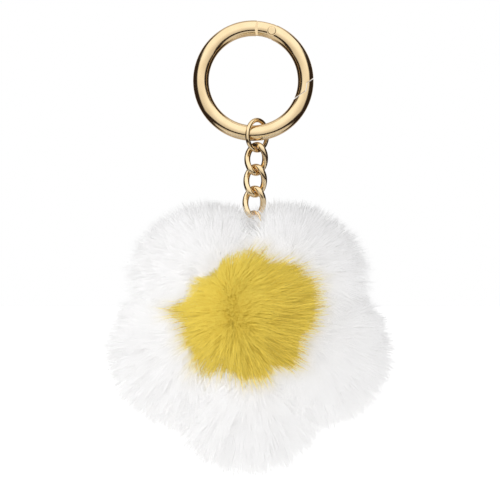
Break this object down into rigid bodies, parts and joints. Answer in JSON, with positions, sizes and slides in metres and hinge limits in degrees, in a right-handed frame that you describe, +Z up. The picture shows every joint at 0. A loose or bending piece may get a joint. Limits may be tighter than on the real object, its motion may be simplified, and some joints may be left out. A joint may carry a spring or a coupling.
{
  "type": "plush keychain",
  "caption": "Fur flower bag charm with stuffed petals around a shaggy centre, hung by a cord loop and a curb chain from a round spring-gate ring.",
  "frame": {"origin": "centre of the round gate ring, which holds the charm up", "axes": "+Z up, away from the flower that hangs below; -Y the front, where the shaggy centre faces; +X to the right as seen from the front, the side of the gate"},
  "size_m": [0.0864, 0.0402, 0.1461],
  "materials": {
    "gold_plate": "polished",
    "spring_steel": "satin",
    "white_fur": "matte",
    "yellow_fur": "matte",
    "stuffing": "matte",
    "loop_cord": "matte",
    "felt": "matte"
  },
  "bodies": {
    "ring": {"ring_body": "gold_plate", "hinge_rivet": "gold_plate"},
    "gate": {"ring_gate": "gold_plate", "gate_spring": "spring_steel"},
    "follower": {"spring_follower": "spring_steel"},
    "jump_ring": {"jump_ring": "gold_plate"},
    "link_1": {"chain_link_1": "gold_plate"},
    "link_2": {"chain_link_2": "gold_plate"},
    "link_3": {"chain_link_3": "gold_plate"},
    "end_ring": {"end_ring": "gold_plate"},
    "loop": {"hanging_loop": "loop_cord"},
    "flower": {"petal_cover_1": "white_fur", "petal_cover_2": "white_fur", "petal_cover_3": "white_fur", "petal_cover_4": "white_fur", "petal_cover_5": "white_fur", "petal_fill_1": "stuffing", "petal_fill_2": "stuffing", "petal_fill_3": "stuffing", "petal_fill_4": "stuffing", "petal_fill_5": "stuffing", "centre_cover": "yellow_fur", "centre_fill": "stuffing", "backing_disc": "felt", "gather_thread": "loop_cord"}
  },
  "joints": [
    {"name": "gate_hinge", "type": "hinge", "parent": "ring", "child": "gate", "pos_m": [0.00609, 0, 0.0163], "axis": [0, 1, 0], "range_deg": [0, 25], "stiffness_Nm_per_rad": 0.01, "springref_deg": -34.38},
    {"name": "follower_slide", "type": "slide", "parent": "gate", "child": "follower", "axis": [0.9367, 0, -0.3502], "range_m": [0, 0.0008], "deforming": ["gate_spring"]},
    {"name": "jump_ring_travel", "type": "hinge", "parent": "ring", "child": "jump_ring", "pos_m": [0, 0, 0], "axis": [0, 1, 0], "range_deg": [-40, 90]},
    {"name": "link_1_swing", "type": "hinge", "parent": "jump_ring", "child": "link_1", "pos_m": [0.00108, 0, -0.02312], "axis": [0.6422, 0.766, -0.028], "range_deg": [-30, 30]},
    {"name": "link_2_swing", "type": "hinge", "parent": "link_1", "child": "link_2", "pos_m": [0.00085, 0, -0.02855], "axis": [0.7064, -0.7071, -0.0308], "range_deg": [-30, 30]},
    {"name": "link_3_swing", "type": "hinge", "parent": "link_2", "child": "link_3", "pos_m": [0.00044, 0, -0.03784], "axis": [0.7064, 0.7071, -0.0308], "range_deg": [-30, 30]},
    {"name": "end_ring_swing", "type": "hinge", "parent": "link_3", "child": "end_ring", "pos_m": [0.00019, 0, -0.04351], "axis": [0.7064, -0.7071, -0.0308], "range_deg": [-30, 30]},
    {"name": "loop_swing", "type": "hinge", "parent": "end_ring", "child": "loop", "pos_m": [-0.00001, 0, -0.04825], "axis": [0.7064, 0.7071, -0.0308], "range_deg": [-25, 25]},
    {"name": "flower_turn", "type": "hinge", "parent": "loop", "child": "flower", "pos_m": [-0.00052, 0, -0.05991], "axis": [0.0436, 0, 0.999], "range_deg": [-45, 45]}
  ],
  "couplings": [
    {"joint": "follower_slide", "follows": "gate_hinge", "m_per_rad": 0.0018}
  ]
}
